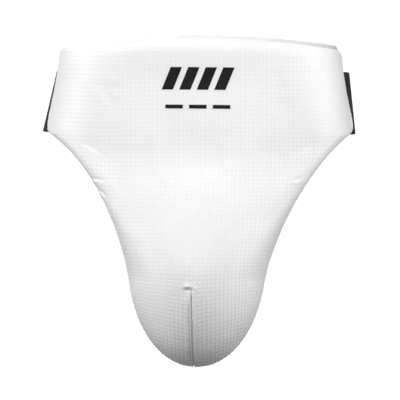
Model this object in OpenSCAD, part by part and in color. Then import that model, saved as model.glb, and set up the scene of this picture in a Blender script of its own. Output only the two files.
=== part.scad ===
// Padded groin guard worn round the waist: a white padded panel with a hard cup inside,
// an elastic waistband in two halves that closes at the back, and two elastic leg straps.
// Millimetres. +Z up, the wearer faces -Y. The origin is the middle of the waist opening,
// at the mid height of the waistband. Heights called h are measured up from the panel's tip.

/* [Panel] */
// Height of the middle of the waistband above the panel's lower tip
band_mid_h = 213; // [205:1:220]
// Thickness of the padding on the wings
pad_t = 11; // [9:0.5:13]
// Extra thickness where the hard cup lies inside
cup_extra_t = 4; // [4:0.5:6]
// Thickness of the outer skin and of the lining
skin_t = 0.9; // [0.7:0.1:1.2]
// How far the cup stands forward of the waist
cup_bulge = 34; // [28:1:38]
// How far the rim of the cup lies behind its crown
cup_drop = 40; // [34:1:44]
// How far the top edge leans forward
top_lean = 4; // [0:1:6]

/* [Waist] */
// Half width of the waist opening at the hips
waist_a = 125.5; // [124:0.5:128]
// Distance from the waist's middle to the panel's front
waist_b = 80; // [74:1:86]
// Distance from the waist's middle to the back of the band
back_b = 88; // [84:1:92]
// Width of the waistband
band_w = 50; // [44:1:54]
// Thickness of the elastic
band_t = 2; // [1.6:0.1:2.2]
// Half length of the back closure
closure_half = 30; // [26:1:32]

/* [Leg straps] */
// Width of a leg strap
strap_w = 20; // [16:1:20]
// Distance of a leg strap from the middle where it meets the waistband
strap_x = 60; // [56:0.5:62]

/* [Hard cup] */
// Thickness of the moulded cup
cup_t = 3; // [2.5:0.1:3]
// Half width of the cup
cup_a = 39; // [34:1:39]
// Half height of the cup
cup_b = 56; // [50:1:56]
// Diameter of a ventilation hole
vent_d = 5; // [3:0.5:6]

/* [Hidden] */

$fn = 24;
white = "whitesmoke";
black = [0.06, 0.06, 0.065];
thread_r = 0.35;
gap = 0.3;
anchor_gap = 1;                    // below the elastic sewn on the wings
patch_lift = 0.6;                  // below the patch over the leg straps' ends
foam_cut_h = 140;                  // height where the foam's waist pads end and its cup pads begin
cup_room = 1.3;                    // space round the cup between the foams
cup_h = 70;                        // height of the middle of the cup
patch_t = 1.4;                     // thickness of the hook and of the loop patch
outer_lift = band_t + 2 * patch_t + gap;
seam_taper = 0.072;                // how much narrower the waist is at the band's upper edge
hip_x = waist_a - 0.5;             // half width of the band at the hips, at its lower edge
seam_x = hip_x - 3.5;              // hip seam, where a band half bends, at the band's lower edge
seam_y = -20.7;
seam_gap = 0.4;                    // space between the sewn end and the moving half
hem_r = 0.93;                      // the skin wraps round the edge to this share of the radius
round_r = 0.9;                     // the edge starts to round off here

// One cubic curve from a to d
function bez(a, b, c, d, t) =
    a * pow(1 - t, 3) + b * 3 * t * pow(1 - t, 2) + c * 3 * t * t * (1 - t) + d * pow(t, 3);
function smooth(t) = let (u = min(1, max(0, t))) u * u * (3 - 2 * u);

// Right half of the panel's outline as [x, h]: bowl, leg edge, hip corner, side, top corner, top
EDGE = [
    [[0, 0], [26, 0], [48.5, 26], [54.6, 70], 7],
    [[54.6, 70], [60, 100], [84, 155], [119, 187], 7],
    [[119, 187], [122.5, 189.8], [124.2, 191.5], [123.4, 197], 3],
    [[123.4, 197], [120.5, 213], [115, 230], [113.8, 249], 3],
    [[113.8, 249], [113.4, 253.5], [110.5, 255.3], [106, 255.8], 3],
    [[106, 255.8], [72, 260.5], [34, 264], [0, 264], 5]
];
half_edge = [for (s = EDGE) for (i = [0 : s[4] - 1]) bez(s[0], s[1], s[2], s[3], i / s[4])];
top_mid = EDGE[5][3];
half_n = len(half_edge);
outline = concat(half_edge, [top_mid], [for (i = [half_n - 1 : -1 : 1]) [-half_edge[i].x, half_edge[i].y]]);
edge_n = len(outline);
core = [0, 150];                   // the rings of the panel's grid are drawn round this point

// Half width of the panel at a height, for the side drop of the cup
width_rows = [for (s = [0 : 3]) for (i = [0 : 8])
    let (p = bez(EDGE[s][0], EDGE[s][1], EDGE[s][2], EDGE[s][3], i / 8)) [p.y, p.x]];
function half_width(h) = lookup(h, width_rows);

// Middle surface of the padding: y at [x, h]
function waist_at(h) = waist_a * (1 - seam_taper * max(0, h - 188) / band_w);
function waist_y(x, h) = -waist_b * pow(1 - min(0.97, pow(abs(x) / waist_at(h), 3)), 1 / 3);
function bulge(h) = h < cup_h ? 1 : 0.5 + 0.5 * cos(180 * min(1, (h - cup_h) / 105));
function bowl_r(x, h) = h < cup_h
    ? norm([x / half_width(cup_h), (cup_h - h) / cup_h])
    : abs(x) / half_width(h);
function bowl(x, h) = (1 - sqrt(1 - pow(0.955 * min(1, bowl_r(x, h)), 2))) / 0.703;
function lean(h) = top_lean * (h - 165) / 100 * smooth((h - 120) / 90);
function cup_zone(x, h) = smooth((1.4 - norm([x / cup_a, (h - cup_h) / cup_b])) / 0.22);
function pad_at(x, h) = pad_t + cup_extra_t * cup_zone(x, h);
function mid_y(x, h) =
    waist_y(x, h) - lean(h) - cup_bulge * bulge(h) + cup_drop * bulge(h) * bowl(x, h) + pad_t / 2;

// A point of the padding. r: share of the radius, i: outline index, f: -1 front to 1 rear,
// e: distance outside the surface
function pad_point(r, i, f, e) =
    let (s = min(1, max(0, (r - round_r) / (1 - round_r))),
         c = sqrt(1 - s * s),
         v = outline[i % edge_n] - core,
         q = core + v * r,
         p = q + v / norm(v) * e * s,
         y = mid_y(p.x, p.y) + f * c * (pad_at(p.x, p.y) / 2 + e))
    [p.x, y, p.y - band_mid_h];

// The surface point at [x, h] away from the rounded edge
function face_point(x, h, f, e) =
    [x, mid_y(x, h) + f * (pad_at(x, h) / 2 + e), h - band_mid_h];

RINGS = [0.13, 0.26, 0.39, 0.52, 0.65, 0.76, 0.84, 0.9, 0.93, 0.965, 1];
HEM_RINGS = [0.965, hem_r];
LINING_RINGS = [for (r = RINGS) if (r <= hem_r) r];
INNER_RINGS = [for (r = RINGS) if (r < 1) r];

// Closed skin between two stacks of rings that each start at a pole. The two last rings are
// joined by a wall, whose diagonals turn the other way when flip is true.
module cap_shell(outer, inner, outer_pole, inner_pole, flip = false) {
    n = len(outer[0]);
    m = len(outer);
    mi = len(inner);
    points = concat([outer_pole], [for (ring = outer) each ring],
        [inner_pole], [for (ring = inner) each ring]);
    off = 1 + n * m;
    function id(k, i) = 1 + k * n + i % n;
    function inid(k, i) = off + id(k, i);
    polyhedron(points, concat(
        [for (i = [0 : n - 1]) [0, id(0, i), id(0, i + 1)]],
        [for (k = [0 : m - 2]) for (i = [0 : n - 1]) [id(k, i), id(k + 1, i), id(k, i + 1)]],
        [for (k = [0 : m - 2]) for (i = [0 : n - 1]) [id(k, i + 1), id(k + 1, i), id(k + 1, i + 1)]],
        [for (i = [0 : n - 1]) [off, inid(0, i + 1), inid(0, i)]],
        [for (k = [0 : mi - 2]) for (i = [0 : n - 1]) [inid(k, i), inid(k, i + 1), inid(k + 1, i)]],
        [for (k = [0 : mi - 2]) for (i = [0 : n - 1]) [inid(k, i + 1), inid(k + 1, i + 1), inid(k + 1, i)]],
        [for (i = [0 : n - 1]) flip
            ? [id(m - 1, i), inid(mi - 1, i), inid(mi - 1, i + 1)]
            : [id(m - 1, i), inid(mi - 1, i), id(m - 1, i + 1)]],
        [for (i = [0 : n - 1]) flip
            ? [id(m - 1, i + 1), id(m - 1, i), inid(mi - 1, i + 1)]
            : [id(m - 1, i + 1), inid(mi - 1, i), inid(mi - 1, i + 1)]]
    ));
}

function ring(r, f, e) = [for (i = [0 : edge_n - 1]) pad_point(r, i, f, e)];
function pole(f, e) = pad_point(0, 0, f, e);
// The face where the two foams meet. It opens round the cup, to side -1 (front) or 1 (rear)
function parted(r, side) = [for (i = [0 : edge_n - 1])
    let (p = pad_point(r, i, 0, -skin_t),
         room = 0.12 + (cup_t / 2 + cup_room) * cup_zone(p.x, p.z + band_mid_h))
    p + [0, side * room, 0]];

// Bar with a rectangular section swept along rings of four corners
module swept_bar(rings) {
    m = len(rings);
    polyhedron([for (c = rings) each c], concat(
        [[0, 1, 2], [0, 2, 3]],
        [for (k = [0 : m - 2]) for (j = [0 : 3])
            [4 * k + j, 4 * k + 4 + j, 4 * k + (j + 1) % 4]],
        [for (k = [0 : m - 2]) for (j = [0 : 3])
            [4 * k + (j + 1) % 4, 4 * k + 4 + j, 4 * k + 4 + (j + 1) % 4]],
        [[4 * m - 1, 4 * m - 2, 4 * m - 3], [4 * m - 1, 4 * m - 3, 4 * m - 4]]
    ));
}

// Thin patch laid on the front (f = -1) or the rear (f = 1) of the panel, its sides slanted by slant
module face_patch(x0, x1, h0, h1, f, lift, t, nx, nh, slant = 0) {
    function at(a, b, e) = let (h = h0 + (h1 - h0) * b / nh)
        face_point(x0 + (x1 - x0) * a / nx + slant * (h - h0), h, f, e);
    w = nx + 1;
    n = w * (nh + 1);
    levels = f > 0 ? [lift, lift + t] : [lift + t, lift];
    points = [for (e = levels) for (b = [0 : nh]) for (a = [0 : nx]) at(a, b, e)];
    function id(a, b, s) = s * n + b * w + a;
    // the two triangles of a side wall above the edge from [a, b] to [c, d]
    function wall(a, b, c, d) = [
        [id(a, b, 0), id(c, d, 0), id(a, b, 1)],
        [id(c, d, 0), id(c, d, 1), id(a, b, 1)]];
    cells = [for (b = [0 : nh - 1]) for (a = [0 : nx - 1]) [a, b]];
    polyhedron(points, concat(
        [for (c = cells) [id(c.x, c.y, 0), id(c.x, c.y + 1, 0), id(c.x + 1, c.y, 0)]],
        [for (c = cells) [id(c.x + 1, c.y, 0), id(c.x, c.y + 1, 0), id(c.x + 1, c.y + 1, 0)]],
        [for (c = cells) [id(c.x, c.y, 1), id(c.x + 1, c.y, 1), id(c.x, c.y + 1, 1)]],
        [for (c = cells) [id(c.x + 1, c.y, 1), id(c.x + 1, c.y + 1, 1), id(c.x, c.y + 1, 1)]],
        [for (a = [0 : nx - 1]) each wall(a, 0, a + 1, 0)],
        [for (a = [0 : nx - 1]) each wall(a + 1, nh, a, nh)],
        [for (b = [0 : nh - 1]) each wall(0, b + 1, 0, b)],
        [for (b = [0 : nh - 1]) each wall(nx, b, nx, b + 1)]
    ));
}

// One thread stitch from p to q
module stitch(p, q) {
    d = q - p;
    translate(p) rotate([0, acos(d.z / norm(d)), atan2(d.y, d.x)]) cylinder(h = norm(d), r = thread_r);
}
// Row of stitches through a list of points, with a short space between two of them
module stitch_row(points) {
    for (i = [0 : len(points) - 2])
        let (p = points[i], d = points[i + 1] - p) stitch(p + 0.12 * d, p + 0.88 * d);
}
// Rows of points about length apart along each side of a closed loop
function loop_steps(loop, length) = [for (k = [0 : len(loop) - 2])
    let (p = loop[k], d = loop[k + 1] - p, n = floor(norm(d) / length))
    [for (j = [0 : n]) p + d * j / n]];

// Layers of the padded panel
module front_cover() {
    color(white) cap_shell(
        concat([for (r = RINGS) ring(r, -1, 0)], [for (r = HEM_RINGS) ring(r, 1, 0)]),
        concat([for (r = RINGS) ring(r, -1, -skin_t)], [for (r = HEM_RINGS) ring(r, 1, -skin_t)]),
        pole(-1, 0), pole(-1, -skin_t));
}
module front_foam() {
    cap_shell([for (r = RINGS) ring(r, -1, -skin_t)], [for (r = INNER_RINGS) parted(r, -1)],
        pole(-1, -skin_t), pole(0, -skin_t));
}
module rear_foam() {
    // the foam lies deeper under the skin's folded hem than under the lining
    function depth(r) = r >= hem_r ? skin_t + 1.6 : skin_t;
    cap_shell([for (r = INNER_RINGS) parted(r, 1)], [for (r = RINGS) ring(r, 1, -depth(r))],
        pole(0, -skin_t), pole(1, -skin_t), true);
}
// Each foam layer is two pads, one behind the waist and one round the cup
module waist_pad() {
    color("gainsboro") intersection() {
        children();
        translate([-200, -200, foam_cut_h + gap / 2 - band_mid_h]) cube([400, 400, 200]);
    }
}
module cup_pad() {
    color("gainsboro") intersection() {
        children();
        translate([-200, -200, foam_cut_h - gap / 2 - band_mid_h - 200]) cube([400, 400, 200]);
    }
}
// A cup layer's own grid: r share of the cup's radius, a angle, s side of the middle surface
function cup_point(r, a, s) =
    let (x = cup_a * r * sin(a), h = cup_h + cup_b * r * cos(a))
    [x, mid_y(x, h) + s * cup_t / 2, h - band_mid_h];
module hard_cup() {
    steps = 28;
    shares = [0.25, 0.5, 0.75, 1];
    function cup_ring(r, s) = [for (i = [0 : steps - 1]) cup_point(r, -i * 360 / steps, s)];
    color("lightsteelblue") difference() {
        cap_shell([for (r = shares) cup_ring(r, -1)], [for (r = shares) cup_ring(r, 1)],
            cup_point(0, 0, -1), cup_point(0, 0, 1));
        for (row = [-1 : 1]) for (col = [-1 : 1])
            translate([col * 13, -60, cup_h + row * 18 - band_mid_h])
                rotate([90, 0, 0]) cylinder(h = 80, d = vent_d);
    }
}
module cup_rim_cushion() {
    steps = 32;
    bead_r = 1.5;
    share = 1.085;
    // bead centre and the directions across it
    function bead(a, b) = cup_point(share, a, 0) + bead_r * [cos(b) * sin(a), sin(b), cos(b) * cos(a)];
    points = [for (i = [0 : steps - 1]) for (j = [0 : 7]) bead(i * 360 / steps, j * 45)];
    function id(i, j) = (i % steps) * 8 + j % 8;
    color("dimgray") polyhedron(points, concat(
        [for (i = [0 : steps - 1]) for (j = [0 : 7]) [id(i, j), id(i + 1, j), id(i, j + 1)]],
        [for (i = [0 : steps - 1]) for (j = [0 : 7]) [id(i, j + 1), id(i + 1, j), id(i + 1, j + 1)]]
    ));
}
module rear_lining() {
    color("ghostwhite") cap_shell([for (r = LINING_RINGS) ring(r, 1, -skin_t)],
        [for (r = LINING_RINGS) ring(r, 1, 0)],
        pole(1, -skin_t), pole(1, 0));
}

// Facing tape over the top edge, between the two top corners
module top_binding() {
    reach = 4;                         // outline points on each side of the middle
    lift = 0.5;
    tape_t = 0.8;
    function corners(i) = [pad_point(0.965, i, -1, lift), pad_point(0.965, i, -1, lift + tape_t),
        pad_point(1, i, 0, lift + tape_t), pad_point(1, i, 0, lift)];
    color("white") swept_bar([for (i = [half_n - reach : half_n + reach]) corners(i)]);
}

// Threads
module hem_stitching() {
    // the hem has no thread of its own under the sewn elastic ends and under the leg straps
    function covered(p) = abs(p.x) > 81 && abs(p.z) < band_w / 2 + 3
        || abs(p.x) < 22 && p.z + band_mid_h < 36;
    hem = [for (i = [0 : edge_n - 1]) pad_point(0.905, i, 1, thread_r + 0.3)];
    color(white) for (i = [0 : edge_n - 1])
        let (p = hem[i], q = hem[(i + 1) % edge_n], n = max(1, floor(norm(q - p) / 5)))
            for (k = [0 : n - 1])
                let (a = p + (q - p) * k / n, b = p + (q - p) * (k + 1) / n)
                    if (!covered(a) && !covered(b)) stitch_row([a, b]);
}
module dart_stitching() {
    color(white) for (x = [-4.2, -1])
        stitch_row([for (k = [0 : 14]) face_point(x, 18 + 2.9 * k, -1, thread_r + 0.2)]);
}
module dart_bartack() {
    color("white") face_patch(-7.5, -1.8, 61.5, 64.5, -1, 0.25, 1.2, 2, 2);
}
// Plain generic mark: four slanted stripes over a row of three dashes
module printed_mark() {
    print_lift = 0.12;
    print_t = 0.3;
    color(black) {
        for (k = [0 : 3])
            face_patch(-29 + 14 * k, -20 + 14 * k, 222, 240, -1, print_lift, print_t, 2, 2, 0.4);
        for (k = [-1 : 1])
            face_patch(19 * k - 7, 19 * k + 7, 207, 210, -1, print_lift, print_t, 2, 1);
    }
}
module care_label() {
    color("white") face_patch(-16, 16, 222, 244, 1, gap, 0.4, 3, 3);
}

// Elastic end sewn to the rear of the right wing, from the wing's middle to the hip seam
anchor_xs = [84, 91, 98, 105, 112];
anchor_turn = [[116.5, -34.2], [119.5, -28], [seam_x, seam_y - seam_gap / 2]];
function taper(h) = 1 - seam_taper * (h - 188) / band_w;
function anchor_corner(x, h, lift) = face_point(x * taper(h), h, 1, lift);
function turn_normal(k) = let (
    last = anchor_corner(112, band_mid_h - band_w / 2, anchor_gap + band_t / 2),
    a = k == 0 ? [last.x, last.y] : anchor_turn[k - 1],
    b = anchor_turn[min(2, k + 1)],
    d = b - a) [d.y, -d.x] / norm(d);
module band_anchor() {
    low = band_mid_h - band_w / 2;
    high = band_mid_h + band_w / 2;
    color(black) swept_bar(concat(
        [for (x = anchor_xs) [
            anchor_corner(x, low, anchor_gap + band_t), anchor_corner(x, low, anchor_gap),
            anchor_corner(x, high, anchor_gap), anchor_corner(x, high, anchor_gap + band_t)]],
        [for (k = [0 : 2]) band_ring(anchor_turn[k], turn_normal(k))]));
}
module anchor_stitching() {
    lift = anchor_gap + band_t + thread_r + 0.45;
    box = [[88, 193], [106, 193], [106, 233], [88, 233], [88, 193]];
    color("silver") for (row = loop_steps(box, 4.5))
        stitch_row([for (c = row) anchor_corner(c.x, c.y, lift)]);
}

// Plan of the waistband from the hip seam to the back, t from 0 to 2, as [x, y] at its lower edge
function band_plan(t) = t < 1
    ? bez([seam_x + 0.1, seam_y + seam_gap / 2], [hip_x - 1.4, -14.5], [hip_x, -4], [hip_x, 18], t)
    : bez([hip_x, 18], [hip_x, 62], [112, back_b], [78, back_b], t - 1);
function band_ring(p, n) = [for (c = [[-1, -1], [1, -1], [1, 1], [-1, 1]])
    let (k = c.y > 0 ? 1 - seam_taper : 1)
    [(p.x + n.x * c.x * band_t / 2) * k, p.y + n.y * c.x * band_t / 2, c.y * band_w / 2]];
function plan_normal(t) =
    let (d = band_plan(min(2, t + 0.01)) - band_plan(max(0, t - 0.01))) [d.y, -d.x] / norm(d);
// Half of the waistband, drawn on the right; lift sets it outside the other half at the back
module band_half(lift) {
    ends = [[48, 0], [44, 0.25], [40, 0.75], [36, 1], [-36, 1]];
    swept_bar(concat(
        [for (k = [0 : 16]) band_ring(band_plan(k / 8), plan_normal(k / 8))],
        [for (e = ends) band_ring([e.x, back_b + lift * e.y], [0, 1])]));
}
module waistband_left() {
    color(black) mirror([1, 0, 0]) band_half(outer_lift);
}
module waistband_right() {
    color(black) band_half(0);
}
// Flat piece on the straight back of the waistband
module back_plate(half_len, y0, t, half_h) {
    translate([-half_len, y0, -half_h]) cube([2 * half_len, t, 2 * half_h]);
}
module loop_patch() {
    color([0.12, 0.12, 0.13]) back_plate(closure_half, back_b + band_t / 2, patch_t, band_w / 2 - 3);
}
module hook_patch() {
    y0 = back_b + band_t / 2 + patch_t + gap;
    color([0.2, 0.2, 0.21]) back_plate(closure_half, y0, patch_t, band_w / 2 - 3);
}
// Box of stitches round a closure patch, on the band's far face
module patch_stitching(y) {
    a = closure_half - 2;
    b = band_w / 2 - 5;
    box = [[-a, -b], [a, -b], [a, b], [-a, b], [-a, -b]];
    color("dimgray") for (row = loop_steps(box, 5))
        stitch_row([for (c = row) [c.x, y, c.y]]);
}
module loop_stitching() {
    patch_stitching(back_b - band_t / 2 - thread_r - 0.1);
}
module hook_stitching() {
    patch_stitching(back_b + outer_lift + band_t / 2 + thread_r + 0.1);
}

// Leg straps. Route of the middle of the right strap as [x, y, h], t from 0 to 1
STRAP = [[9.5, -77.8, 15.6], [8, -58, -12], [28, back_b + 6, 40], [strap_x, back_b - 2, 160]];
strap_tilt = 0.3;                  // slope across the strap where it lies on the panel's tip
strap_end = 0.97;                  // t where the lower part ends, just below the upper part
strap_open_h = 156;                // height of the upper part's lower end
strap_top_z = -13;                 // the upper part ends here, on the band's inner side
function strap_route(t) = bez(STRAP[0], STRAP[1], STRAP[2], STRAP[3], t);
function strap_normal(t) =
    let (d = strap_route(min(1, t + 0.01)) - strap_route(max(0, t - 0.01)))
    [0, d.z, -d.y] / norm([d.y, d.z]);
function strap_ring(t) =
    let (p = strap_route(t), n = strap_normal(t) * band_t / 2, half = min(strap_w, 17 + 10 * t) / 2,
         w = half * [1, strap_tilt * smooth(1 - 4 * t), 0])
    [for (q = [p - w - n, p - w + n, p + w + n, p + w - n]) [q.x, q.y, q.z - band_mid_h]];
module strap_lower() {
    swept_bar([for (k = [0 : 16]) strap_ring(strap_end * k / 16)]);
}
module strap_upper() {
    z0 = strap_open_h - band_mid_h;
    translate([strap_x - strap_w / 2, back_b - 1 - band_t, z0]) cube([strap_w, band_t, strap_top_z - z0]);
}
module strap_bartack() {
    translate([strap_x - strap_w / 2 + 2, back_b - 1.5 - band_t, -band_w / 2 + 2])
        cube([strap_w - 4, 0.5, 8]);
}
module strap_patch() {
    color(black) face_patch(-17, 17, 17, 33, 1, patch_lift, 1, 4, 3);
}
module strap_patch_stitching() {
    box = [[-15, 21], [15, 21], [15, 31], [-15, 31], [-15, 21]];
    color("silver") for (row = loop_steps(box, 4))
        stitch_row([for (c = row) face_point(c.x, c.y, 1, patch_lift + 1 + thread_r + 0.5)]);
}

front_cover();
waist_pad() front_foam();  // waist_foam_front
waist_pad() rear_foam();  // waist_foam_rear
cup_pad() front_foam();  // cup_foam_front
cup_pad() rear_foam();  // cup_foam_rear
hard_cup();
cup_rim_cushion();
rear_lining();
top_binding();
hem_stitching();
dart_stitching();
dart_bartack();
printed_mark();
care_label();
mirror([1, 0, 0]) band_anchor();  // band_anchor_left
band_anchor();  // band_anchor_right
mirror([1, 0, 0]) anchor_stitching();  // anchor_stitching_left
anchor_stitching();  // anchor_stitching_right
strap_patch();
strap_patch_stitching();
color(black) mirror([1, 0, 0]) strap_lower();  // leg_strap_lower_left
color(black) strap_lower();  // leg_strap_lower_right
waistband_left();
waistband_right();
hook_patch();
loop_patch();
hook_stitching();
loop_stitching();
color(black) mirror([1, 0, 0]) strap_upper();  // leg_strap_upper_left
color(black) strap_upper();  // leg_strap_upper_right
color("gray") mirror([1, 0, 0]) strap_bartack();  // strap_bartack_left
color("gray") strap_bartack();  // strap_bartack_right
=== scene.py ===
"""Looks of the groin guard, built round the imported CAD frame. Metres, +Z up, the front faces -Y."""

import math

import bmesh
import bpy
import numpy as np
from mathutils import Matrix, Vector


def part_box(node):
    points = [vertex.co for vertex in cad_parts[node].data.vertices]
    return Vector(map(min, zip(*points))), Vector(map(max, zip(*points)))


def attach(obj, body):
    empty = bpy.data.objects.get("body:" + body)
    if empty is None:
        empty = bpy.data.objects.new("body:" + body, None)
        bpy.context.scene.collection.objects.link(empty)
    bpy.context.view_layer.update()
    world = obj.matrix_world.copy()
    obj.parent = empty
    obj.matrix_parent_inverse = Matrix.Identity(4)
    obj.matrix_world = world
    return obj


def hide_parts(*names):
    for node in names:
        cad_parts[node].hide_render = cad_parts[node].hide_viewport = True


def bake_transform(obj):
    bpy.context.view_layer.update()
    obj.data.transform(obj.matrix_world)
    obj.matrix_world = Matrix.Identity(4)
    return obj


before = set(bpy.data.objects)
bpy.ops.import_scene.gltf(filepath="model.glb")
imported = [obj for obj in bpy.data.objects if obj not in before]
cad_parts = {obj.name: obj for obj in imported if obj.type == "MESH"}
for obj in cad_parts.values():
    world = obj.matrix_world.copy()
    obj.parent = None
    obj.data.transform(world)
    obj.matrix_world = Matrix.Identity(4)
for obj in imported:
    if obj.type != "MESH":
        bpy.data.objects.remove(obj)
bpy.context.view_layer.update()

MM = 0.001

# -------- sizes, from the frame
cover_low, cover_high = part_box("front_cover")
TIP = cover_low[2]  # z of the panel's lower tip
K = (cover_high[2] - cover_low[2]) / 264  # metres for one design millimetre
band_low, band_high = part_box("waistband_right")
BAND_W = band_high[2] - band_low[2]
BAND_MID = (band_high[2] + band_low[2]) / 2
BACK_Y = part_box("loop_patch")[0][1]  # outer face of the inner band half at the back
HIP_X = band_high[0]
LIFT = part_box("waistband_left")[1][1] - BACK_Y  # the outer half lies this far out
BAND_T = 2 * MM
WAIST_A = 125.5 * K  # the waist oval's half width and depth
WAIST_B = 80 * K
TAPER = 0.072  # the waist narrows upward by this share
PAD_T = 11 * K
CUP_H = 70 * K  # height of the cup's middle
CORE_H = 150 * K  # height of the point that polar places go round


def bez(points, t):
    """Points of a cubic curve at the values t."""
    a, b, c, d = (np.array(p, float) for p in points)
    t = np.asarray(t, float)[..., None]
    return a * (1 - t) ** 3 + 3 * b * t * (1 - t) ** 2 + 3 * c * t * t * (1 - t) + d * t**3


def smooth(t):
    """Smooth step from 0 to 1."""
    u = np.clip(t, 0, 1)
    return u * u * (3 - 2 * u)


def bell(d, width):
    """Bell curve of the distance d."""
    return np.exp(-((d / width) ** 2))


def unit(v):
    """Vectors scaled to length 1."""
    return v / np.maximum(np.linalg.norm(v, axis=-1, keepdims=True), 1e-9)


def arc_length(points):
    """Length along a polyline at each of its points."""
    return np.concatenate([[0], np.cumsum(np.linalg.norm(np.diff(points, axis=0), axis=1))])


def at_share(points, share):
    """Points of a polyline at shares of its length."""
    length = arc_length(points)
    return np.stack([np.interp(share * length[-1], length, row) for row in points.T], -1)


def spread(points, step):
    """The same polyline with even steps."""
    count = max(2, int(round(arc_length(points)[-1] / step)) + 1)
    return at_share(points, np.linspace(0, 1, count))


def soften(points, times):
    """Rounds the bends of a polyline, in place."""
    for _ in range(times):
        points[1:-1] = points[1:-1] * 0.5 + (points[:-2] + points[2:]) * 0.25


# -------- the panel's outline and surface
EDGE = [
    [(0, 0), (26, 0), (48.5, 26), (54.6, 70)],
    [(54.6, 70), (60, 100), (84, 155.5), (120.6, 187)],
    [(120.6, 187), (123.2, 189.2), (124.2, 191), (123.4, 197)],
    [(123.4, 197), (120.5, 213), (115, 230), (113.8, 249)],
    [(113.8, 249), (113.4, 253.5), (110.5, 255.3), (106, 255.8)],
    [(106, 255.8), (72, 260.5), (34, 264), (0, 264)],
]
# the left leg edge is cut a little deeper than the right one
LEFT_LEG = [
    [(54.6, 70), (60, 100), (78.5, 160), (121.6, 187)],
    [(121.6, 187), (123.8, 188.6), (124.2, 190.6), (123.4, 197)],
]
STEPS = np.linspace(0, 1, 60, endpoint=False)


def half_outline(segments):
    """Points along one half of the outline, from the tip to the middle of the top."""
    return np.concatenate([bez(s, STEPS) for s in segments] + [[segments[-1][-1]]]) * K


half_edge = half_outline(EDGE)
left_edge = half_outline(EDGE[:1] + LEFT_LEG + EDGE[3:])
full_edge = np.concatenate([half_edge, left_edge[-2:0:-1] * [-1, 1]])
side_rows = half_edge[: 4 * len(STEPS)]

edge_vec = full_edge - [0, CORE_H]
edge_angle = np.unwrap(np.arctan2(edge_vec[:, 0], -edge_vec[:, 1]))
edge_radius = np.hypot(edge_vec[:, 0], edge_vec[:, 1])


def reach(angle):
    """Distance from the panel's core to its outline. The angle is 0 at the tip, and more to the right."""
    return np.interp(np.mod(angle, 2 * np.pi), edge_angle, edge_radius, period=2 * np.pi)


def polar(x, h):
    """Share of the radius and angle of a point of the panel."""
    angle = np.mod(np.arctan2(x, CORE_H - h), 2 * np.pi)
    return np.hypot(x, h - CORE_H) / reach(angle), angle


def half_width(h):
    """Half width of the panel at a height."""
    return np.interp(h, side_rows[:, 1], side_rows[:, 0])


def waist_at(h):
    """Half width of the waist at a height."""
    return WAIST_A * (1 - TAPER * np.maximum(0, h / K - 188) / 50)


def mid_y(x, h):
    """Middle surface of the padding."""
    mm_h = h / K
    waist = -WAIST_B * (1 - np.minimum(0.97, (np.abs(x) / waist_at(h)) ** 3)) ** (1 / 3)
    bulge = np.where(mm_h < 70, 1, 0.5 + 0.5 * np.cos(np.pi * np.clip((mm_h - 70) / 105, 0, 1)))
    low = np.hypot(x / half_width(CUP_H), (CUP_H - h) / CUP_H)
    share = np.where(h < CUP_H, low, np.abs(x) / half_width(h))
    bowl = (1 - np.sqrt(1 - (0.955 * np.minimum(1, share)) ** 2)) / 0.703
    lean = 4 * (mm_h - 165) / 100 * smooth((mm_h - 120) / 90)
    return waist + K * (-lean - 34 * bulge + 40 * bulge * bowl) + PAD_T / 2


def cup_share(x, h):
    """Distance from the middle of the hard cup, 1 at its rim."""
    return np.hypot(x / (39 * K), (h - CUP_H) / (56 * K))


def pad_at(x, h):
    """Thickness of the padding, which swells softly over the hard cup."""
    return PAD_T + 4 * K * smooth((1.9 - cup_share(x, h)) / 1.3)


ROUND_R = 0.9


def pad_points(r, angle, side, lift=0.0):
    """Points of the padding's skin. side is -1 for the front and 1 for the rear, lift is outward."""
    s = np.clip((r - ROUND_R) / (1 - ROUND_R), 0, 1)
    c = np.sqrt(np.maximum(0, 1 - s * s))
    radius = reach(angle) * r + lift * s
    x = np.sin(angle) * radius
    h = CORE_H - np.cos(angle) * radius
    y = mid_y(x, h) + side * c * (pad_at(x, h) / 2 + lift)
    return np.stack([x, y, h + TIP], -1)


# -------- mesh helpers
def new_mesh(name, points, faces, uvs=None):
    """A smooth mesh object from points and faces, with one uv pair for each point."""
    mesh = bpy.data.meshes.new(name)
    if isinstance(faces, np.ndarray):
        faces = faces.tolist()
    mesh.from_pydata(np.asarray(points, float).tolist(), [], faces)
    mesh.validate(clean_customdata=False)
    if uvs is not None:
        layer = mesh.uv_layers.new(name="UVMap")
        loops = np.empty(len(mesh.loops), np.int32)
        mesh.loops.foreach_get("vertex_index", loops)
        layer.data.foreach_set("uv", np.asarray(uvs, np.float32)[loops].ravel())
    mesh.polygons.foreach_set("use_smooth", [True] * len(mesh.polygons))
    obj = bpy.data.objects.new(name, mesh)
    bpy.context.scene.collection.objects.link(obj)
    return obj


def closed_mesh(name, points, faces, uvs=None):
    """A closed mesh object with its faces turned outward."""
    obj = new_mesh(name, points, faces, uvs)
    bm = bmesh.new()
    bm.from_mesh(obj.data)
    bmesh.ops.recalc_face_normals(bm, faces=bm.faces)
    bm.to_mesh(obj.data)
    bm.free()
    return obj


def grid_faces(rows, cols, wrap=False, first=0):
    """Quads of a grid of points, row by row. wrap joins the last column to the first."""
    r = np.arange(rows - 1)[:, None]
    c = np.arange(cols if wrap else cols - 1)[None, :]
    n = (c + 1) % cols
    quads = np.stack([r * cols + c, r * cols + n, (r + 1) * cols + n, (r + 1) * cols + c], -1)
    return quads.reshape(-1, 4) + first


def border_order(rows, cols):
    """Indices of the grid's border, once round, starting at the lower left and going right."""
    grid = np.arange(rows * cols).reshape(rows, cols)
    return np.concatenate([grid[0, :-1], grid[:-1, -1], grid[-1, :0:-1], grid[:0:-1, 0]])


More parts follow.
